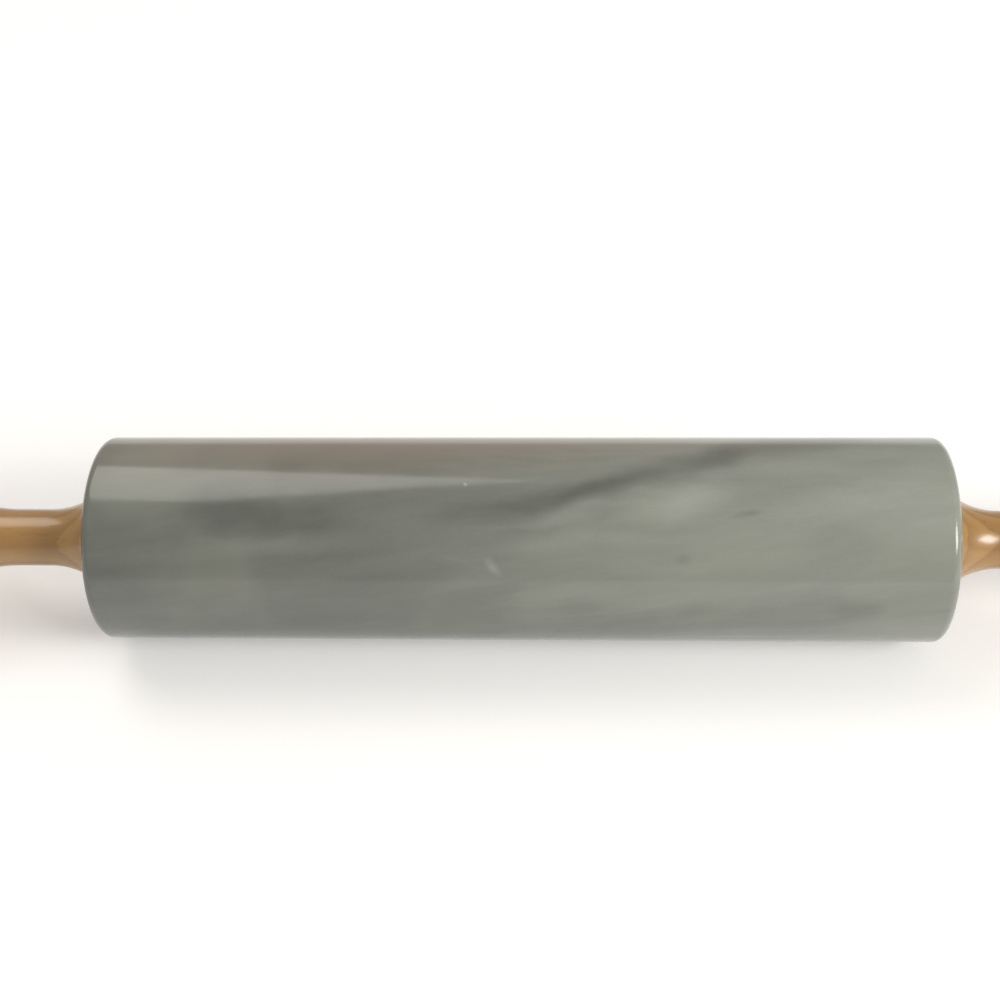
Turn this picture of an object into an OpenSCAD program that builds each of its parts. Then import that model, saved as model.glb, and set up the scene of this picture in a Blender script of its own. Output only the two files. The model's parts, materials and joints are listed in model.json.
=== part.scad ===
// Marble rolling pin: a stone barrel that turns freely on a steel axle between two turned wooden handles.
// Millimetres. The origin is the middle of the barrel on its axis, +X runs along the pin, +Z is up.

/* [Barrel] */
// Length of the marble barrel
barrel_l = 254; // [200:1:400]
// Diameter of the marble barrel
barrel_d = 62; // [45:0.5:80]
// Radius of the round along each rim of the barrel
barrel_rim_r = 3; // [1:0.5:6]
// Diameter of the bore through the marble
barrel_bore_d = 16; // [13:0.5:20]
// Chamfer at each mouth of the bore
bore_chamfer = 0.8; // [0.2:0.1:1.5]

/* [Bushings] */
// Length of a bushing's sleeve inside the marble
bushing_l = 22; // [12:1:40]
// Width of a bushing's flange, out from its sleeve
flange_w = 4; // [2:0.5:6]
// Thickness of a bushing's flange
flange_t = 1.5; // [1:0.1:3]
// Clearance between the axle and a bushing, on the radius
running_gap = 0.05; // [0.02:0.01:0.09]
// Play between a bushing's flange and the washer beside it
end_float = 0.5; // [0.3:0.1:1.5]

/* [Axle] */
// Diameter of the axle where the barrel turns on it
axle_d = 8; // [7:0.5:10]
// Diameter of the axle's reduced ends, inside the handles
stud_d = 6; // [5:0.5:6.5]
// Pitch of the screw thread on the axle's ends
thread_pitch = 1; // [0.75:0.25:1.5]
// Length of the screw thread
thread_l = 14; // [10:1:20]
// Length of thread that shows past a tightened nut
thread_proud = 1; // [0.5:0.5:3]

/* [Handles] */
// Length of a handle's wooden body
handle_l = 97.5; // [85:0.5:130]
// Diameter of a handle's base, beside the barrel
base_d = 27; // [22:0.5:34]
// Length of the straight land around the base
base_land = 0.8; // [0.4:0.1:3]
// Radius of the hollow cove between the base and the neck
cove_r = 24; // [14:1:30]
// Diameter of the neck
neck_d = 17.6; // [15:0.2:20]
// Length of the straight neck
neck_l = 10; // [5:1:20]
// Length of the swell from the neck to the widest part of the grip
swell_l = 38; // [25:1:45]
// Largest diameter of the grip
grip_d = 30; // [26:0.5:36]
// Diameter where the grip meets the round at its far end
end_d = 20; // [18:0.5:24]
// Radius of the round at the far end
end_round = 1.5; // [0.5:0.5:3]
// Fullness of the grip past its widest part: 2 is an ellipse, more is blunter
end_fullness = 2.6; // [2:0.1:3.5]
// Clearance between a handle and the axle's end in it, on the radius
handle_gap = 0.2; // [0.1:0.05:0.4]

/* [Fasteners] */
// Diameter of the washer between the axle's shoulder and a handle
shoulder_washer_d = 18; // [14:0.5:20]
// Thickness of that washer
shoulder_washer_t = 1; // [0.6:0.1:2]
// Diameter of the flat washer under a nut
flat_washer_d = 12; // [11:0.5:13]
// Thickness of the flat washer
flat_washer_t = 1.6; // [1:0.1:2.5]
// Diameter of the split lock washer under a nut
lock_washer_d = 11.4; // [10:0.2:12]
// Thickness of the lock washer
lock_washer_t = 1.6; // [1:0.1:2.5]
// Width of the slit in the lock washer
lock_slit_w = 1.2; // [0.6:0.1:2]
// Angle between the slit and the lock washer's axis
lock_slit_angle = 20; // [0:5:30]
// Clearance between any washer and the axle's end, on the radius
washer_gap = 0.1; // [0.05:0.05:0.3]
// Width of a nut across its flats
nut_flats = 10; // [8.5:0.5:10.5]
// Height of a nut
nut_h = 5; // [4:0.5:6.5]
// Angle of the chamfer on a nut's corners
nut_chamfer_angle = 30; // [15:5:30]

/* [End plugs] */
// Room for a socket spanner around the flat washer, on the radius
spanner_room = 1; // [0.5:0.1:1.5]
// Depth of a plug in its pocket
plug_t = 4; // [2:0.5:6]
// Height of a plug's domed top above the handle's end
plug_dome_h = 1; // [0.5:0.1:2]
// Air between a plug and the end of the thread
plug_air = 0.8; // [0.3:0.1:2]

/* [Hidden] */
$fn = 96;

// Segments in a small round and in a long curve
round_steps = 8;
curve_steps = 18;
// Depth of an ISO thread as a share of its pitch, and the flats at its crest and root
thread_depth = 0.61 * thread_pitch;
crest_flat = thread_pitch / 8;
root_flat = thread_pitch / 4;
// Margin by which a cutting tool runs past the solid that it cuts
past = 1;

// Stations along +X, counted out from the middle of the pin
barrel_end = barrel_l / 2;
flange_end = barrel_end + flange_t;
shoulder = flange_end + end_float;
handle_start = shoulder + shoulder_washer_t;
handle_end = handle_start + handle_l;
pocket_depth = flat_washer_t + lock_washer_t + nut_h + thread_proud + plug_air + plug_t;
pocket_floor = handle_end - pocket_depth;
lock_washer_start = pocket_floor + flat_washer_t;
nut_start = lock_washer_start + lock_washer_t;
axle_end = nut_start + nut_h + thread_proud;
plug_start = handle_end - plug_t;

// Radii that follow from what fits what
bore_r = barrel_bore_d / 2;
axle_r = axle_d / 2;
stud_r = stud_d / 2;
bushing_bore_r = axle_r + running_gap;
handle_bore_r = stud_r + handle_gap;
washer_bore_r = stud_r + washer_gap;
pocket_r = flat_washer_d / 2 + spanner_room;

// The handle's outline, as distances from its base
cove_rise = (base_d - neck_d) / 2;
cove_run = sqrt(pow(cove_r, 2) - pow(cove_r - cove_rise, 2));
neck_start = base_land + cove_run;
swell_start = neck_start + neck_l;
tail_start = swell_start + swell_l;
end_ratio = pow(end_d / grip_d, end_fullness);
tail_slope = grip_d / 2 * (1 - end_ratio) * pow(end_ratio, 1 / end_fullness - 1)
    / (handle_l - tail_start);
tail_angle = atan(tail_slope);
tail_l = handle_l - tail_start - end_round * (1 - sin(tail_angle));

// Points of an arc, as [radius, distance along the axis]
function arc(centre, r, from, to) =
    [for (i = [0 : round_steps])
        let (a = from + (to - from) * i / round_steps)
        centre + r * [cos(a), sin(a)]];

// The hollow cove, from the base land to the neck
function cove_points() =
    [for (i = [0 : round_steps])
        let (x = cove_run * (1 - i / round_steps))
        [neck_d / 2 + cove_r - sqrt(pow(cove_r, 2) - pow(x, 2)), neck_start - x]];

// The swell, level with the neck at its start and with the grip at its end
function swell_points() =
    [for (i = [0 : curve_steps])
        let (u = i / curve_steps)
        [neck_d / 2 + (grip_d - neck_d) / 2 * (1 - cos(180 * u)) / 2, swell_start + swell_l * u]];

// The far end of the grip, which drops ever faster from its widest part
function tail_points() =
    [for (i = [1 : curve_steps])
        let (u = i / curve_steps)
        [grip_d / 2 * pow(1 - (1 - end_ratio) * pow(u, end_fullness), 1 / end_fullness),
            tail_start + tail_l * u]];

// One groove of the thread for each pitch, as rings
function thread_points(start, count) =
    [for (i = [0 : count - 1])
        let (x = start + thread_pitch * i, mid = x + thread_pitch / 2)
        each [[stud_r, x + crest_flat / 2],
            [stud_r - thread_depth, mid - root_flat / 2],
            [stud_r - thread_depth, mid + root_flat / 2],
            [stud_r, x + thread_pitch - crest_flat / 2]]];

// Revolves an outline of [radius, distance] points about the X axis
module turned(points) {
    rotate([0, 90, 0]) rotate_extrude() polygon(points);
}

// A flat ring about the X axis
module ring(outer_r, inner_r, start, thickness) {
    turned([[inner_r, start], [outer_r, start],
        [outer_r, start + thickness], [inner_r, start + thickness]]);
}

// The same piece at the left end, turned half way round so that its thread keeps its hand
module on_left() {
    rotate([0, 0, 180]) children();
}

module barrel() {
    rim = barrel_d / 2 - barrel_rim_r;
    straight = barrel_end - barrel_rim_r;
    mouth_r = bore_r + bore_chamfer;
    color([0.56, 0.58, 0.55])
        turned(concat(
            [[bore_r, -barrel_end + bore_chamfer], [mouth_r, -barrel_end]],
            arc([rim, -straight], barrel_rim_r, -90, 0),
            arc([rim, straight], barrel_rim_r, 0, 90),
            [[mouth_r, barrel_end], [bore_r, barrel_end - bore_chamfer]]));
}

// Flanged sleeve, pressed into the marble up to its flange
module bushing() {
    flange_r = bore_r + flange_w;
    sleeve_start = barrel_end - bushing_l;
    color("ivory")
        turned([[bushing_bore_r, sleeve_start], [bore_r, sleeve_start], [bore_r, barrel_end],
            [flange_r, barrel_end], [flange_r, flange_end], [bushing_bore_r, flange_end]]);
}

// One half of the axle's outline, from the middle out
function axle_half() =
    let (grooves = floor(thread_l / thread_pitch), thread_start = axle_end - grooves * thread_pitch)
    concat([[axle_r, shoulder], [stud_r, shoulder]],
        thread_points(thread_start, grooves),
        [[stud_r - thread_depth, axle_end], [0, axle_end]]);

module axle_rod() {
    half = axle_half();
    back = [for (i = [len(half) - 1 : -1 : 0]) [half[i][0], -half[i][1]]];
    color("silver") turned(concat(back, half));
}

module shoulder_washer() {
    color("lightsteelblue") ring(shoulder_washer_d / 2, washer_bore_r, shoulder, shoulder_washer_t);
}

// Turned wooden handle with a pocket for the nut in its far end
module handle() {
    outline = concat([[base_d / 2, 0]], cove_points(), swell_points(), tail_points(),
        arc([end_d / 2 - end_round * cos(tail_angle), handle_l - end_round],
            end_round, tail_angle, 90));
    inside = [[pocket_r, handle_l], [pocket_r, handle_l - pocket_depth],
        [handle_bore_r, handle_l - pocket_depth], [handle_bore_r, 0]];
    color("peru") translate([handle_start, 0, 0]) turned(concat(outline, inside));
}

module flat_washer() {
    color("gainsboro") ring(flat_washer_d / 2, washer_bore_r, pocket_floor, flat_washer_t);
}

// Spring washer, split by a slanting slit
module lock_washer() {
    middle = lock_washer_start + lock_washer_t / 2;
    color("dimgray") difference() {
        ring(lock_washer_d / 2, washer_bore_r, lock_washer_start, lock_washer_t);
        translate([middle, 0, lock_washer_d / 2]) rotate([0, 0, lock_slit_angle])
            cube([lock_washer_t * 2 + past, lock_slit_w, lock_washer_d], center = true);
    }
}

// Hexagon nut with its corners chamfered on both faces
module end_nut() {
    corner_r = nut_flats / 2 / cos(30);
    drop = (corner_r - nut_flats / 2) * tan(nut_chamfer_angle);
    nut_end = nut_start + nut_h;
    color("slategray") difference() {
        intersection() {
            translate([nut_start, 0, 0]) rotate([0, 90, 0])
                cylinder(h = nut_h, r = corner_r, $fn = 6);
            turned([[0, nut_start], [nut_flats / 2, nut_start], [corner_r, nut_start + drop],
                [corner_r, nut_end - drop], [nut_flats / 2, nut_end], [0, nut_end]]);
        }
        translate([nut_start - past, 0, 0]) rotate([0, 90, 0])
            cylinder(h = nut_h + 2 * past, r = stud_r);
    }
}

// Wooden button that closes the pocket, with a low dome
module end_plug() {
    dome_r = (pow(pocket_r, 2) + pow(plug_dome_h, 2)) / (2 * plug_dome_h);
    centre = [0, handle_end + plug_dome_h - dome_r];
    edge_angle = acos(pocket_r / dome_r);
    color("burlywood")
        turned(concat([[0, plug_start], [pocket_r, plug_start]], arc(centre, dome_r, edge_angle, 90)));
}

module left_bushing() { on_left() bushing(); }
module right_bushing() { bushing(); }
module left_shoulder_washer() { on_left() shoulder_washer(); }
module right_shoulder_washer() { shoulder_washer(); }
module left_handle() { on_left() handle(); }
module right_handle() { handle(); }
module left_flat_washer() { on_left() flat_washer(); }
module right_flat_washer() { flat_washer(); }
module left_lock_washer() { on_left() lock_washer(); }
module right_lock_washer() { lock_washer(); }
module left_end_nut() { on_left() end_nut(); }
module right_end_nut() { end_nut(); }
module left_end_plug() { on_left() end_plug(); }
module right_end_plug() { end_plug(); }

barrel();
left_bushing();
right_bushing();
axle_rod();
left_shoulder_washer();
right_shoulder_washer();
left_handle();
right_handle();
left_flat_washer();
right_flat_washer();
left_lock_washer();
right_lock_washer();
left_end_nut();
right_end_nut();
left_end_plug();
right_end_plug();
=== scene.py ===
"""A marble rolling pin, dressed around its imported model: polished stone, varnished wood, and a soft studio."""

import json
import logging
import math
from dataclasses import dataclass, field
from enum import Enum
from typing import Any

import bmesh
import bpy
from mathutils import Matrix, Vector

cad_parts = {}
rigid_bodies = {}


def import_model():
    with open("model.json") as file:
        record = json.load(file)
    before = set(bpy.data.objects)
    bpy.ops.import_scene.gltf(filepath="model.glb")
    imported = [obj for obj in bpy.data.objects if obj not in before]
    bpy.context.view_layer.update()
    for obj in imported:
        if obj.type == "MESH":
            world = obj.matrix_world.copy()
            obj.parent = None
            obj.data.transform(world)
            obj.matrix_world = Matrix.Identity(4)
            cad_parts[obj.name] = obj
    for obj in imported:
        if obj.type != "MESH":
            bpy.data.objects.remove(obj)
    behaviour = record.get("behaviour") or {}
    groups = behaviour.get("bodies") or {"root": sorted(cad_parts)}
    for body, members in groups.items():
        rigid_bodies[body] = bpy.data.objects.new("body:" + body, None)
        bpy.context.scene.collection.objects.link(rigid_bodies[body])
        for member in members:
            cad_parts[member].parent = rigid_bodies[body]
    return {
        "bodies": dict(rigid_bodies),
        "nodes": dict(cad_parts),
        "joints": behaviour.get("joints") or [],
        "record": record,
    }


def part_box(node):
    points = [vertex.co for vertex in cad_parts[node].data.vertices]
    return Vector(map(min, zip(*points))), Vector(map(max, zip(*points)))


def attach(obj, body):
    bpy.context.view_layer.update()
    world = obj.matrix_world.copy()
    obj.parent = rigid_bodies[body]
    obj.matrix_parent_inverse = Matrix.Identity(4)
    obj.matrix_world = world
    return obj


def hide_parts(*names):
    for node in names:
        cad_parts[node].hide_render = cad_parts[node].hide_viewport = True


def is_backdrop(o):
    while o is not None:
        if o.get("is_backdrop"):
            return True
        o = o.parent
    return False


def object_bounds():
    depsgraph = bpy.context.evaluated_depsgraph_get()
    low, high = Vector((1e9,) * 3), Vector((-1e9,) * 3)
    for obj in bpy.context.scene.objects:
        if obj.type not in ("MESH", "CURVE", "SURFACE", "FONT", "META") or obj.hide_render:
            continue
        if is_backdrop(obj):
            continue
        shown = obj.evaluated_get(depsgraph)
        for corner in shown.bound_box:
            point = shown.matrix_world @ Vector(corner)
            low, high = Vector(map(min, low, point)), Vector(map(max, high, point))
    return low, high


LOG = logging.getLogger("rolling_pin")
MM = 0.001
SHARP_ANGLE = math.radians(32)
Point = tuple[float, float]
Colour = tuple[float, float, float]


class Side(Enum):
    """The two ends of the pin, by the sign of their place along +X."""

    LEFT = -1
    RIGHT = 1

    @property
    def label(self) -> str:
        """The word that starts the end's piece names."""
        return self.name.lower()


class Body(Enum):
    """The two groups of pieces that move as one."""

    HANDLE_SET = "handle_set"
    ROLLER = "roller"


class Graph:
    """A material's or world's node tree, with short calls for the nodes that the finishes use."""

    def __init__(self, tree: bpy.types.NodeTree) -> None:
        """Empties the tree.

        Args:
            tree: The node tree to build in.
        """
        self.tree = tree
        tree.nodes.clear()

    def node(self, kind: str, inputs: dict[Any, Any] | None = None, **settings: Any) -> bpy.types.Node:
        """Adds a node.

        Args:
            kind: The node's type name, without "ShaderNode".
            inputs: A value or a socket for each input, by name or number.
            **settings: The node's own properties.

        Returns:
            The new node.
        """
        made = self.tree.nodes.new("ShaderNode" + kind)
        for name, value in settings.items():
            setattr(made, name, value)
        for name, value in (inputs or {}).items():
            if isinstance(value, bpy.types.NodeSocket):
                self.tree.links.new(value, made.inputs[name])
            else:
                made.inputs[name].default_value = value
        return made

    def math(self, operation: str, *values: Any, clamp: bool = False) -> bpy.types.NodeSocket:
        """A Math node's result, from its operation and its one, two or three values."""
        made = self.node("Math", dict(enumerate(values)), operation=operation, use_clamp=clamp)
        return made.outputs[0]

    def object_place(self) -> bpy.types.NodeSocket:
        """The point's place in the piece's own frame, which is the pin's frame at rest."""
        return self.node("TexCoord").outputs["Object"]

    def mapped(self, place: Any, location: Any = (0, 0, 0), turn: Any = (0, 0, 0),
               size: Any = (1, 1, 1)) -> bpy.types.NodeSocket:
        """The place as seen from a box of that location, turn and size.

        Args:
            place: The socket with the point's place.
            location: The box's centre, in metres.
            turn: The box's turn, as XYZ angles in radians.
            size: How far one unit of the result reaches along each of the box's sides.

        Returns:
            The socket with the place in the box's units.
        """
        made = self.node("Mapping", {"Vector": place}, vector_type="TEXTURE")
        made.inputs["Location"].default_value = location
        made.inputs["Rotation"].default_value = turn
        made.inputs["Scale"].default_value = size
        return made.outputs[0]

    def noise(self, place: Any, scale: float, detail: float = 3.0, rough: float = 0.5) -> bpy.types.Node:
        """A 3-D noise node.

        Args:
            place: The socket with the point's place.
            scale: Features in each unit of the place.
            detail: Octaves of finer noise.
            rough: How strong each finer octave is.

        Returns:
            The node, with its Fac and Color outputs.
        """
        return self.node("TexNoise", {"Vector": place, "Scale": scale, "Detail": detail, "Roughness": rough})

    def remap(self, value: Any, low: float, high: float, to_low: float = 0.0, to_high: float = 1.0,
              smooth: bool = True) -> bpy.types.NodeSocket:
        """A value moved from one span to another.

        Args:
            value: The socket with the value.
            low: Where the first span starts.
            high: Where the first span ends.
            to_low: What the start becomes.
            to_high: What the end becomes.
            smooth: True to ease the value at both ends.

        Returns:
            The socket with the moved value.
        """
        made = self.node("MapRange", {"Value": value, "From Min": low, "From Max": high,
                                      "To Min": to_low, "To Max": to_high},
                         interpolation_type="SMOOTHSTEP" if smooth else "LINEAR")
        return made.outputs[0]

    def ramp(self, value: Any, stops: list[tuple[float, Colour]]) -> bpy.types.NodeSocket:
        """Colours along a value.

        Args:
            value: The socket with the value.
            stops: Each stop's place from 0 to 1, and its linear colour.

        Returns:
            The socket with the colour.
        """
        made = self.node("ValToRGB", {"Fac": value})
        elements = made.color_ramp.elements
        while len(elements) < len(stops):
            elements.new(0.5)
        for element, (place, colour) in zip(elements, stops):
            element.position = place
            element.color = (*colour, 1.0)
        return made.outputs["Color"]

    def mix(self, share: Any, first: Any, second: Any) -> bpy.types.NodeSocket:
        """Two colours mixed.

        Args:
            share: The second colour's share, a number or a socket.
            first: The first colour, linear, or a socket.
            second: The second colour, linear, or a socket.

        Returns:
            The socket with the mixed colour.
        """
        made = self.node("Mix", data_type="RGBA", clamp_result=False)
        for socket, value in ((made.inputs[0], share), (made.inputs[6], first), (made.inputs[7], second)):
            if isinstance(value, bpy.types.NodeSocket):
                self.tree.links.new(value, socket)
            elif isinstance(value, tuple):
                socket.default_value = (*value, 1.0)
            else:
                socket.default_value = value
        return made.outputs[2]

    def bump(self, height: Any, depth: float) -> bpy.types.NodeSocket:
        """A bumped normal, from a height between 0 and 1 and the depth of one unit in metres."""
        made = self.node("Bump", {"Height": height, "Distance": depth, "Strength": 1.0})
        return made.outputs[0]


def new_material(name: str) -> tuple[bpy.types.Material, Graph]:
    """Makes an empty node material.

    Args:
        name: The material's name.

    Returns:
        The material and its graph.
    """
    material = bpy.data.materials.new(name)
    material.use_nodes = True
    return material, Graph(material.node_tree)


@dataclass(frozen=True)
class StoneMark:
    """One cloud, streak or fleck in the marble, a soft blob in the stone that the turned surface cuts.

    Args:
        along: Its middle along the axis, in millimetres from the barrel's middle.
        around: Its middle round the axis, in degrees up from the side that faces the camera.
        length: Its half length, in millimetres.
        width: Its half width across the surface, in millimetres.
        rise: How steeply it climbs towards +X, in degrees.
        tone: How much it lightens the stone, or darkens it where negative.
    """

    along: float
    around: float
    length: float
    width: float
    rise: float
    tone: float


@dataclass(frozen=True)
class PolishedMarble:
    """Grey-green marble: drawn-out clouds and streaks that climb gently along the barrel, under a polish, with
    painted light that lightens it towards the right end and a rose patch along the top that is partly a painted
    reflection.
    """

    facing: float = math.radians(45)
    radius: float = 31 * MM
    half_length: float = 127 * MM
    sway_scale: float = 26.0
    sway_reach: tuple[float, float, float] = (0.012, 0.010, 0.010)
    climb: float = math.radians(-9)
    cloud_stretch: float = 5.5
    cloud_scale: float = 38.0
    cloud_share: float = 0.34
    streak_stretch: float = 9.0
    streak_scale: float = 150.0
    streak_share: float = 0.16
    grain_scale: float = 1400.0
    grain_share: float = 0.05
    # Partly painted light, partly the stone's own tone: the stone runs lighter from the left end to the right
    # end, standing in for part of the light that falls from the right.
    left_tone_with_painted_shade: float = 0.36
    right_tone_with_painted_light: float = 0.60
    stone_colours: tuple[tuple[float, Colour], ...] = (
        (0.00, (0.050, 0.052, 0.047)),
        (0.28, (0.110, 0.120, 0.106)),
        (0.45, (0.175, 0.190, 0.168)),
        (0.62, (0.275, 0.295, 0.262)),
        (0.80, (0.395, 0.425, 0.380)),
        (1.00, (0.580, 0.610, 0.560)),
    )
    # Partly painted reflection: a rose-brown patch along the top of the barrel, partly pink clouding in the stone
    # and partly a painted warm reflection of the room along the top edge.
    rose_patch: StoneMark = StoneMark(-40, 72, 110, 17, 2, 1)
    rose: Colour = (0.30, 0.22, 0.17)
    rose_share: float = 0.5
    haze_scale: float = 24.0
    haze: Colour = (0.30, 0.30, 0.235)
    haze_share: float = 0.25
    polish_scale: float = 90.0
    least_rough: float = 0.12
    most_rough: float = 0.17
    swell_scale: float = 60.0
    swell_depth: float = 0.02 * MM
    marks: tuple[StoneMark, ...] = (
        StoneMark(-75, 15, 26, 6.5, -2, -0.13),
        StoneMark(-100, 4, 18, 5, 3, -0.05),
        StoneMark(-64, -1, 20, 3.5, 4, 0.06),
        StoneMark(-67, 42, 9, 7, 12, -0.07),
        StoneMark(-14, 14, 15, 4.5, 12, -0.10),
        StoneMark(8, 22, 18, 4, 16, -0.12),
        StoneMark(28, 32, 14, 3.2, 18, -0.17),
        StoneMark(50, 48, 22, 5, 17, -0.12),
        StoneMark(80, 66, 30, 7, 15, -0.22),
        StoneMark(45, 22, 17, 5, 8, 0.16),
        StoneMark(16, 16, 14, 3, 12, 0.08),
        StoneMark(66, 15, 4, 1.0, 20, -0.08),
        StoneMark(49, -8, 2.5, 1.8, 0, -0.06),
        StoneMark(-7, -15, 3.2, 1.1, -48, 0.10),
        StoneMark(-14.5, 33, 0.7, 0.7, 0, 0.25),
        StoneMark(53, -40, 7, 3, 2, -0.06),
        StoneMark(98, -40, 8, 3, 4, -0.06),
        StoneMark(92, -3, 14, 7, 10, -0.05),
    )

    def tone(self, g: Graph, place: bpy.types.NodeSocket) -> bpy.types.NodeSocket:
        """How light the stone is at a point, from 0 to 1, with painted light that lightens it towards the right
        end.

        Args:
            g: The graph to build in.
            place: The socket with the point's place.

        Returns:
            The socket with the tone.
        """
        sway = g.noise(place, self.sway_scale, 3, 0.55).outputs["Color"]
        offset = g.node("VectorMath", {0: sway, 1: (0.5, 0.5, 0.5)}, operation="SUBTRACT").outputs[0]
        swayed = g.node("VectorMath", {0: offset, 1: self.sway_reach, 2: place},
                        operation="MULTIPLY_ADD").outputs[0]
        turn = (0.0, self.climb, 0.0)
        cloud_bed = g.mapped(swayed, turn=turn, size=(self.cloud_stretch, 1.0, 1.0))
        clouds = g.noise(cloud_bed, self.cloud_scale, 4, 0.5).outputs["Fac"]
        streak_bed = g.mapped(swayed, turn=turn, size=(self.streak_stretch, 1.0, 1.0))
        streaks = g.noise(streak_bed, self.streak_scale, 5, 0.6).outputs["Fac"]
        grain = g.noise(place, self.grain_scale, 3, 0.6).outputs["Fac"]
        total = g.node("SeparateXYZ", {0: place}).outputs["X"]
        reach = self.half_length
        # Partly painted light: the base tone rises from the left end to the right end.
        total = g.remap(total, -reach, reach, self.left_tone_with_painted_shade, self.right_tone_with_painted_light, smooth=False)
        shares = ((clouds, self.cloud_share), (streaks, self.streak_share), (grain, self.grain_share))
        for value, share in shares:
            total = g.math("ADD", total, g.math("MULTIPLY", g.math("SUBTRACT", value, 0.5), share))
        for mark in self.marks:
            total = g.math("MULTIPLY_ADD", self.blob(g, swayed, mark), mark.tone, total)
        return total

    def blob(self, g: Graph, place: bpy.types.NodeSocket, mark: StoneMark) -> bpy.types.NodeSocket:
        """How much a point lies in a mark, 1 in its middle and 0 past its edge.

        Args:
            g: The graph to build in.
            place: The socket with the point's place.
            mark: The mark.

        Returns:
            The socket with the share.
        """
        around = self.facing + math.radians(mark.around)
        out = Vector((0, -math.cos(around), math.sin(around)))
        up = Vector((0, math.sin(around), math.cos(around)))
        rise = math.radians(mark.rise)
        along = Vector((math.cos(rise), 0, 0)) + up * math.sin(rise)
        across = out.cross(along)
        turn = Matrix((along, across, out)).transposed().to_euler()
        centre = Vector((mark.along * MM, 0, 0)) + out * self.radius
        size = (mark.length * MM, mark.width * MM, max(mark.width, 4.0) * MM)
        seen = g.mapped(place, centre, turn, size)
        distance = g.node("VectorMath", {0: seen}, operation="LENGTH").outputs["Value"]
        return g.remap(distance, 0.1, 1.5, 1.0, 0.0)

    def build(self) -> bpy.types.Material:
        """Makes the material.

        Returns:
            The marble.
        """
        material, g = new_material("polished_marble")
        place = g.object_place()
        tone = self.tone(g, place)
        colour = g.ramp(tone, list(self.stone_colours))
        haze = g.noise(place, self.haze_scale, 3, 0.5).outputs["Fac"]
        polish = g.noise(place, self.polish_scale, 4, 0.6).outputs["Fac"]
        rough = g.remap(polish, 0.3, 0.7, self.least_rough, self.most_rough)
        # Partly painted reflection: the rose patch warms the top of the barrel.
        rose = self.blob(g, place, self.rose_patch)
        colour = g.mix(g.math("MULTIPLY", rose, self.rose_share), colour, self.rose)
        colour = g.mix(g.remap(haze, 0.45, 0.7, 0.0, self.haze_share), colour, self.haze)
        swell = g.noise(place, self.swell_scale, 2, 0.4).outputs["Fac"]
        shader = g.node("BsdfPrincipled", {
            "Base Color": colour, "Roughness": rough, "IOR": 1.5,
            "Normal": g.bump(swell, self.swell_depth)})
        g.node("OutputMaterial", {"Surface": shader.outputs[0]})
        return material


@dataclass(frozen=True)
class VarnishedWood:
    """Turned hardwood under a golden-brown varnish, with growth rings about a heart beside the piece."""

    name: str
    heart: tuple[float, float, float] = (0.0, 0.034, -0.021)
    rings: float = 330.0
    pale: Colour = (0.42, 0.235, 0.075)
    deep: Colour = (0.235, 0.115, 0.033)
    late_share: float = 0.42
    fleck_share: float = 0.28
    least_rough: float = 0.24
    most_rough: float = 0.32
    grain_depth: float = 0.02 * MM

    def build(self) -> bpy.types.Material:
        """Makes the material.

        Returns:
            The wood.
        """
        material, g = new_material(self.name)
        place = g.object_place()
        wander = g.noise(g.mapped(place, size=(9, 1, 1)), 60, 3, 0.5).outputs["Color"]
        bent = g.node("VectorMath", {0: wander, 1: (0.0, 0.006, 0.006), 2: place},
                      operation="MULTIPLY_ADD").outputs[0]
        out = g.mapped(bent, self.heart)
        flat = g.node("VectorMath", {0: out, 1: (0.03, 1.0, 1.0)}, operation="MULTIPLY").outputs[0]
        ring = g.node("VectorMath", {0: flat}, operation="LENGTH").outputs["Value"]
        season = g.math("FRACT", g.math("MULTIPLY", ring, self.rings))
        late = g.remap(season, 0.25, 0.95)
        fleck = g.noise(g.mapped(place, size=(14, 1, 1)), 1500, 2, 0.6).outputs["Fac"]
        fleck = g.remap(fleck, 0.60, 0.72)
        broad = g.noise(g.mapped(place, size=(4, 1, 1)), 90, 3, 0.5).outputs["Fac"]
        dark = g.math("ADD", g.math("MULTIPLY", late, self.late_share),
                      g.math("MULTIPLY", fleck, self.fleck_share))
        dark = g.math("ADD", dark, g.remap(broad, 0.3, 0.7, -0.12, 0.25), clamp=True)
        colour = g.mix(dark, self.pale, self.deep)
        rough = g.remap(broad, 0.3, 0.7, self.least_rough, self.most_rough)
        shader = g.node("BsdfPrincipled", {
            "Base Color": colour, "Roughness": rough, "IOR": 1.5,
            "Coat Weight": 0.5, "Coat Roughness": 0.16, "Normal": g.bump(dark, -self.grain_depth)})
        g.node("OutputMaterial", {"Surface": shader.outputs[0]})
        return material


@dataclass(frozen=True)
class TurnedSteel:
    """Bare or plated steel with the fine rings that a lathe leaves about the axle."""

    name: str
    bright: Colour
    dull: Colour
    roughness: float = 0.3

    def build(self) -> bpy.types.Material:
        """Makes the material.

        Returns:
            The steel.
        """
        material, g = new_material(self.name)
        place = g.object_place()
        rings = g.noise(g.mapped(place, size=(0.02, 1, 1)), 120, 3, 0.6).outputs["Fac"]
        stain = g.noise(place, 300, 4, 0.6).outputs["Fac"]
        colour = g.mix(g.remap(stain, 0.35, 0.7), self.bright, self.dull)
        rough = g.remap(stain, 0.3, 0.7, self.roughness - 0.06, self.roughness + 0.08)
        shader = g.node("BsdfPrincipled", {
            "Base Color": colour, "Metallic": 1.0, "Roughness": rough,
            "Normal": g.bump(rings, 0.01 * MM)})
        g.node("OutputMaterial", {"Surface": shader.outputs[0]})
        return material


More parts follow.
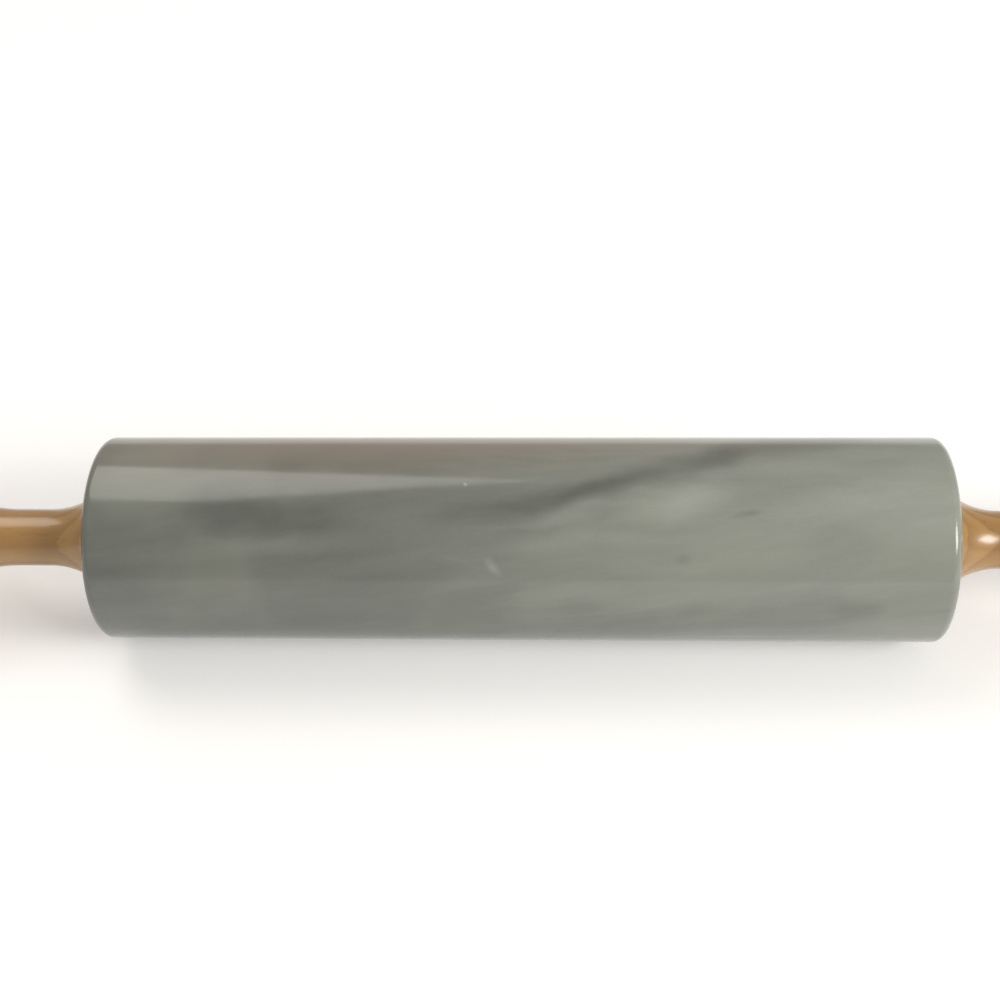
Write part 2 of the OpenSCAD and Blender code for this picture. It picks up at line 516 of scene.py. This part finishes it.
@dataclass(frozen=True)
class Nylon:
    """Milky moulded plastic with a faint cloudiness."""

    name: str = "milky_nylon"

    def build(self) -> bpy.types.Material:
        """Makes the material.

        Returns:
            The nylon.
        """
        material, g = new_material(self.name)
        place = g.object_place()
        cloud = g.noise(place, 260, 4, 0.6).outputs["Fac"]
        colour = g.mix(g.remap(cloud, 0.35, 0.7), (0.72, 0.70, 0.63), (0.60, 0.58, 0.51))
        rough = g.remap(cloud, 0.3, 0.7, 0.34, 0.46)
        shader = g.node("BsdfPrincipled", {
            "Base Color": colour, "Roughness": rough, "Normal": g.bump(cloud, 0.02 * MM)})
        g.node("OutputMaterial", {"Surface": shader.outputs[0]})
        return material


def arc(centre: Point, radius: float, start: float, end: float, steps: int) -> list[Point]:
    """Points of an arc in (distance along the axis, radius), its angles in degrees from the outward side."""
    turns = (math.radians(start + (end - start) * i / steps) for i in range(steps + 1))
    return [(centre[0] + radius * math.sin(a), centre[1] + radius * math.cos(a)) for a in turns]


def turned(name: str, outline: list[Point], around: int, mirrored: bool = False) -> bpy.types.Object:
    """Turns a closed outline about the X axis.

    Args:
        name: The piece's name.
        outline: Its corners, as (distance along the axis, radius), without the first one repeated.
        around: Segments in a full turn.
        mirrored: True for a piece at the left end, whose outline is written for the right.

    Returns:
        The piece, smooth but for its sharp corners.
    """
    mesh = bpy.data.meshes.new(name)
    bm = bmesh.new()
    rings: list[list[bmesh.types.BMVert]] = []
    for x, radius in outline:
        count = around if radius > 0 else 1
        turns = (2 * math.pi * i / around for i in range(count))
        rings.append([bm.verts.new((x, radius * math.cos(a), radius * math.sin(a))) for a in turns])
    for one, two in zip(rings, rings[1:] + rings[:1]):
        if len(one) == 1 and len(two) == 1:
            continue
        for i in range(around):
            j = (i + 1) % around
            corners = [one[i % len(one)], one[j % len(one)], two[j % len(two)], two[i % len(two)]]
            bm.faces.new(list(dict.fromkeys(corners)))
    if mirrored:
        bmesh.ops.rotate(bm, verts=bm.verts, matrix=Matrix.Rotation(math.pi, 3, "Z"))
    bmesh.ops.recalc_face_normals(bm, faces=bm.faces)
    for face in bm.faces:
        face.smooth = True
    bm.to_mesh(mesh)
    bm.free()
    mesh.set_sharp_from_angle(angle=SHARP_ANGLE)
    piece = bpy.data.objects.new(name, mesh)
    bpy.context.scene.collection.objects.link(piece)
    return piece


def dress(piece: bpy.types.Object, material: bpy.types.Material, body: Body, slot: str, *nodes: str) -> None:
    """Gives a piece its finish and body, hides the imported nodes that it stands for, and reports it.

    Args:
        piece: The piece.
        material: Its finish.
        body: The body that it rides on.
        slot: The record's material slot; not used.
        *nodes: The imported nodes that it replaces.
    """
    piece.data.materials.clear()
    piece.data.materials.append(material)
    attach(piece, body.value)
    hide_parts(*nodes)
    LOG.info("%s rides on %s and stands for %s", piece.name, body.value, ", ".join(nodes))


@dataclass
class Barrel:
    """The marble barrel: a bored cylinder with a round along each rim."""

    rim_round: float = 3 * MM
    mouth_chamfer: float = 0.8 * MM
    bore_radius: float = 8 * MM
    around: int = 256
    rim_steps: int = 14
    half_length: float = field(init=False)
    radius: float = field(init=False)

    def __post_init__(self) -> None:
        """Takes the barrel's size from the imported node."""
        low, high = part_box("barrel")
        self.half_length = (high.x - low.x) / 2
        self.radius = high.z

    def outline(self) -> list[Point]:
        """Works out the outline, from the left mouth of the bore round to the right one.

        Returns:
            Its corners, as (distance along the axis, radius).
        """
        rim = self.radius - self.rim_round
        straight = self.half_length - self.rim_round
        mouth = self.bore_radius + self.mouth_chamfer
        return [(-self.half_length + self.mouth_chamfer, self.bore_radius), (-self.half_length, mouth),
                *arc((-straight, rim), self.rim_round, -90, 0, self.rim_steps),
                *arc((straight, rim), self.rim_round, 0, 90, self.rim_steps),
                (self.half_length, mouth), (self.half_length - self.mouth_chamfer, self.bore_radius)]

    def build(self, marble: bpy.types.Material) -> None:
        """Makes the barrel.

        Args:
            marble: Its finish.
        """
        piece = turned("marble_barrel", self.outline(), self.around)
        dress(piece, marble, Body.ROLLER, "marble", "barrel")


@dataclass
class Handle:
    """One turned handle: a coved base, a straight neck, a swelling grip and a plugged far end."""

    side: Side
    base_land: float = 0.8 * MM
    base_edge: float = 0.35 * MM
    base_radius: float = 13.5 * MM
    cove: float = 24 * MM
    neck_radius: float = 8.8 * MM
    neck_length: float = 10 * MM
    swell_length: float = 38 * MM
    grip_radius: float = 15 * MM
    end_radius: float = 10 * MM
    end_round: float = 1.5 * MM
    fullness: float = 2.6
    bore_radius: float = 3.2 * MM
    pocket_radius: float = 7 * MM
    pocket_depth: float = 14 * MM
    around: int = 160
    edge_steps: int = 4
    cove_steps: int = 24
    grip_steps: int = 40
    end_steps: int = 8
    start: float = field(init=False)
    length: float = field(init=False)

    def __post_init__(self) -> None:
        """Takes the handle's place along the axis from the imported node."""
        low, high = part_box(self.side.label + "_handle")
        near, far = sorted((abs(low.x), abs(high.x)))
        self.start = near
        self.length = far - near

    def outline(self) -> list[Point]:
        """Works out the outline from the handle's sizes.

        Returns:
            Its corners, as (distance along the axis, radius).
        """
        run = math.sqrt(self.cove**2 - (self.cove - self.base_radius + self.neck_radius) ** 2)
        neck = self.base_land + run
        swell = neck + self.neck_length
        tail = swell + self.swell_length
        ratio = (self.end_radius / self.grip_radius) ** self.fullness
        slope = self.grip_radius * (1 - ratio) * ratio ** (1 / self.fullness - 1) / (self.length - tail)
        lean = math.atan(slope)
        tail_length = self.length - tail - self.end_round * (1 - math.sin(lean))
        points = arc((self.base_edge, self.base_radius - self.base_edge), self.base_edge, -90, 0, self.edge_steps)
        for i in range(self.cove_steps + 1):
            x = run * (1 - i / self.cove_steps)
            points.append((neck - x, self.neck_radius + self.cove - math.sqrt(self.cove**2 - x**2)))
        for i in range(self.grip_steps + 1):
            u = i / self.grip_steps
            rise = (self.grip_radius - self.neck_radius) * (1 - math.cos(math.pi * u)) / 2
            points.append((swell + self.swell_length * u, self.neck_radius + rise))
        for i in range(1, self.grip_steps + 1):
            u = i / self.grip_steps
            drop = (1 - (1 - ratio) * u**self.fullness) ** (1 / self.fullness)
            points.append((tail + tail_length * u, self.grip_radius * drop))
        centre = (self.length - self.end_round, self.end_radius - self.end_round * math.cos(lean))
        points += arc(centre, self.end_round, math.degrees(lean), 90, self.end_steps)
        points += [(self.length, self.pocket_radius), (self.length - self.pocket_depth, self.pocket_radius),
                   (self.length - self.pocket_depth, self.bore_radius), (0.0, self.bore_radius)]
        return [(self.start + x, radius) for x, radius in points]

    def build(self, wood: bpy.types.Material) -> None:
        """Makes the handle.

        Args:
            wood: Its finish.
        """
        label = self.side.label
        piece = turned(f"{label}_turned_handle", self.outline(), self.around, self.side is Side.LEFT)
        dress(piece, wood, Body.HANDLE_SET, "handle_wood", f"{label}_handle")


@dataclass
class EndPlug:
    """The wooden button that closes the pocket in a handle's end."""

    side: Side
    dome: float = 1 * MM
    around: int = 96
    start: float = field(init=False)
    top: float = field(init=False)
    radius: float = field(init=False)

    def __post_init__(self) -> None:
        """Takes the plug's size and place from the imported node."""
        low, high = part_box(self.side.label + "_end_plug")
        self.start, self.top = sorted((abs(low.x), abs(high.x)))
        self.radius = high.z

    def build(self, wood: bpy.types.Material) -> None:
        """Makes the plug.

        Args:
            wood: Its finish.
        """
        ball = (self.radius**2 + self.dome**2) / (2 * self.dome)
        edge = math.degrees(math.asin(self.radius / ball))
        crown = [(x, abs(r)) for x, r in arc((self.top - ball, 0.0), ball, 90 - edge, 90, 10)]
        crown[-1] = (crown[-1][0], 0.0)
        outline = [(self.start, 0.0), (self.start, self.radius), *crown]
        label = self.side.label
        piece = turned(f"{label}_plug_button", outline, self.around, self.side is Side.LEFT)
        dress(piece, wood, Body.HANDLE_SET, "plug_wood", f"{label}_end_plug")


@dataclass
class Bushing:
    """The flanged nylon sleeve pressed into one mouth of the bore."""

    side: Side
    flange_edge: float = 0.3 * MM
    flange_thickness: float = 1.5 * MM
    bore_radius: float = 4.05 * MM
    sleeve_radius: float = 8 * MM
    around: int = 128

    def build(self, nylon: bpy.types.Material) -> None:
        """Makes the bushing.

        Args:
            nylon: Its finish.
        """
        label = self.side.label
        low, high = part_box(f"{label}_bushing")
        inner, outer = sorted((abs(low.x), abs(high.x)))
        face = outer - self.flange_thickness
        edge = high.z - self.flange_edge
        outline = [(inner, self.bore_radius), (inner, self.sleeve_radius), (face, self.sleeve_radius),
                   *arc((face + self.flange_edge, edge), self.flange_edge, -90, 0, 4),
                   *arc((outer - self.flange_edge, edge), self.flange_edge, 0, 90, 4),
                   (outer, self.bore_radius)]
        piece = turned(f"{label}_flanged_bushing", outline, self.around, self.side is Side.LEFT)
        dress(piece, nylon, Body.ROLLER, "nylon", f"{label}_bushing")


@dataclass
class Fasteners:
    """The axle, washers and nuts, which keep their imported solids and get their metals."""

    def build(self, frame: dict[str, Any]) -> None:
        """Gives each packed metal node its finish.
        """
        axle = TurnedSteel("axle_steel", (0.62, 0.62, 0.63), (0.50, 0.50, 0.52)).build()
        zinc = TurnedSteel("zinc_plate", (0.70, 0.71, 0.73), (0.55, 0.56, 0.60), 0.26).build()
        spring = TurnedSteel("spring_steel", (0.30, 0.30, 0.32), (0.20, 0.20, 0.22), 0.38).build()
        metals = {"axle_rod": axle}
        for side in Side:
            metals |= {f"{side.label}_{word}": zinc for word in ("shoulder_washer", "flat_washer", "end_nut")}
            metals[f"{side.label}_lock_washer"] = spring
        for node, metal in metals.items():
            slots = frame["nodes"][node].material_slots
            for slot in slots:
                slot.material = metal
            LOG.info("%s keeps its solid, in %s", node, metal.name)


@dataclass
class StudioCamera:
    """The camera, placed where it sees the pin as the photograph does.

    The pin's middle lies right and below of the optical axis, and the pin's right end is the nearer one.
    """

    lens: float = 54.0
    sensor: float = 36.0
    distance: float = 460.2 * MM
    aim_right: float = 5.9 * MM
    aim_below: float = 11.8 * MM
    height_angle: float = math.radians(45)
    swing: float = math.radians(2.39)
    roll: float = math.radians(0.1)

    def build(self) -> None:
        """Makes the camera and gives it to the scene."""
        data = bpy.data.cameras.new("studio_camera")
        data.lens = self.lens
        data.sensor_width = self.sensor
        data.clip_start = 0.01
        camera = bpy.data.objects.new("studio_camera", data)
        level = Vector((1, 0, 0))
        ahead = Vector((0, math.cos(self.height_angle), -math.sin(self.height_angle)))
        up = Vector((0, math.sin(self.height_angle), math.cos(self.height_angle)))
        right = level * math.cos(self.swing) + ahead * math.sin(self.swing)
        forward = ahead * math.cos(self.swing) - level * math.sin(self.swing)
        place = up * self.aim_below - right * self.aim_right - forward * self.distance
        turn = Matrix((right, up, -forward)).transposed().to_4x4()
        camera.matrix_world = Matrix.Translation(place) @ turn @ Matrix.Rotation(self.roll, 4, "Z")
        bpy.context.scene.collection.objects.link(camera)
        bpy.context.scene.camera = camera


@dataclass(frozen=True)
class Softbox:
    """One rectangular studio lamp.

    Args:
        name: Its name.
        place: Where it hangs, in metres.
        aim: The point that it faces, in metres.
        size: Its width and height, in metres.
        power: Its power, in watts.
        tint: Its linear colour.
    """

    name: str
    place: tuple[float, float, float]
    aim: tuple[float, float, float]
    size: tuple[float, float]
    power: float
    tint: Colour = (1.0, 1.0, 1.0)

    def build(self) -> None:
        """Makes the lamp."""
        data = bpy.data.lights.new(self.name, "AREA")
        data.shape = "RECTANGLE"
        data.size, data.size_y = self.size
        data.energy = self.power
        data.color = self.tint
        lamp = bpy.data.objects.new(self.name, data)
        lamp.location = self.place
        facing = Vector(self.aim) - Vector(self.place)
        lamp.rotation_euler = facing.to_track_quat("-Z", "Y").to_euler()
        bpy.context.scene.collection.objects.link(lamp)


@dataclass
class Studio:
    """The plain pale floor, the soft lamps and the warm grey room round them."""

    floor_height: float = -31 * MM
    floor_reach: float = 6.0
    floor_glow: float = 0.22
    pale_paper: Colour = (0.89, 0.89, 0.885)
    dull_paper: Colour = (0.86, 0.86, 0.855)
    room: Colour = (0.50, 0.48, 0.455)
    lamps: tuple[Softbox, ...] = (
        Softbox("right_softbox", (1.15, -0.75, 0.85), (0.05, 0, 0), (0.6, 0.6), 16.0, (1.0, 0.98, 0.95)),
        Softbox("overhead_softbox", (-0.6, 0.5, 1.3), (0, 0.1, 0), (0.9, 0.9), 7.0, (1.0, 0.95, 0.9)),
    )

    def floor(self) -> None:
        """Makes the floor, whose glow shows to the camera and in reflections but lights nothing."""
        mesh = bpy.data.meshes.new("studio_floor")
        bm = bmesh.new()
        bmesh.ops.create_grid(bm, x_segments=8, y_segments=8, size=self.floor_reach)
        bmesh.ops.translate(bm, verts=bm.verts, vec=(0, 0, self.floor_height))
        bm.to_mesh(mesh)
        bm.free()
        floor = bpy.data.objects.new("studio_floor", mesh)
        bpy.context.scene.collection.objects.link(floor)
        material, g = new_material("studio_paper")
        fibre = g.noise(g.object_place(), 900, 3, 0.6).outputs["Fac"]
        paper = g.mix(g.remap(fibre, 0.3, 0.7), self.dull_paper, self.pale_paper)
        matte = g.node("BsdfDiffuse", {"Color": paper})
        rays = g.node("LightPath").outputs
        seen = g.math("MAXIMUM", rays["Is Camera Ray"], rays["Is Glossy Ray"])
        seen = g.math("MAXIMUM", seen, rays["Is Transmission Ray"])
        glow = g.node("Emission", {"Color": (1, 1, 1, 1), "Strength": g.math("MULTIPLY", seen, self.floor_glow)})
        both = g.node("AddShader", {0: matte.outputs[0], 1: glow.outputs[0]})
        g.node("OutputMaterial", {"Surface": both.outputs[0]})
        mesh.materials.append(material)
        floor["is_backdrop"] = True

    def air(self) -> None:
        """Makes the room, an even warm grey."""
        world = bpy.data.worlds.new("studio_room")
        world.use_nodes = True
        g = Graph(world.node_tree)
        light = g.node("Background", {"Color": (*self.room, 1.0), "Strength": 1.0})
        g.node("OutputWorld", {"Surface": light.outputs[0]})
        bpy.context.scene.world = world

    def build(self) -> None:
        """Makes the floor, the room and the lamps."""
        self.floor()
        self.air()
        for lamp in self.lamps:
            lamp.build()


def corners() -> list[list[float]]:
    """The shown object's lowest and highest corners, as plain numbers."""
    return [list(corner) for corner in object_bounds()]


def main() -> None:
    """Builds the pin, its studio and its camera."""
    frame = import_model()
    logging.basicConfig(level=logging.INFO, format="%(message)s")
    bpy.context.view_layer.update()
    bpy.context.scene.view_settings.view_transform = "Standard"
    StudioCamera().build()
    Barrel().build(PolishedMarble().build())
    handle_wood = VarnishedWood("varnished_handle_wood").build()
    plug_wood = VarnishedWood("varnished_plug_wood", (0.0, -0.02, 0.031), 420.0).build()
    nylon = Nylon().build()
    for side in Side:
        Handle(side).build(handle_wood)
        EndPlug(side).build(plug_wood)
        Bushing(side).build(nylon)
    Fasteners().build(frame)
    Studio().build()


if __name__ == "__main__":
    main()
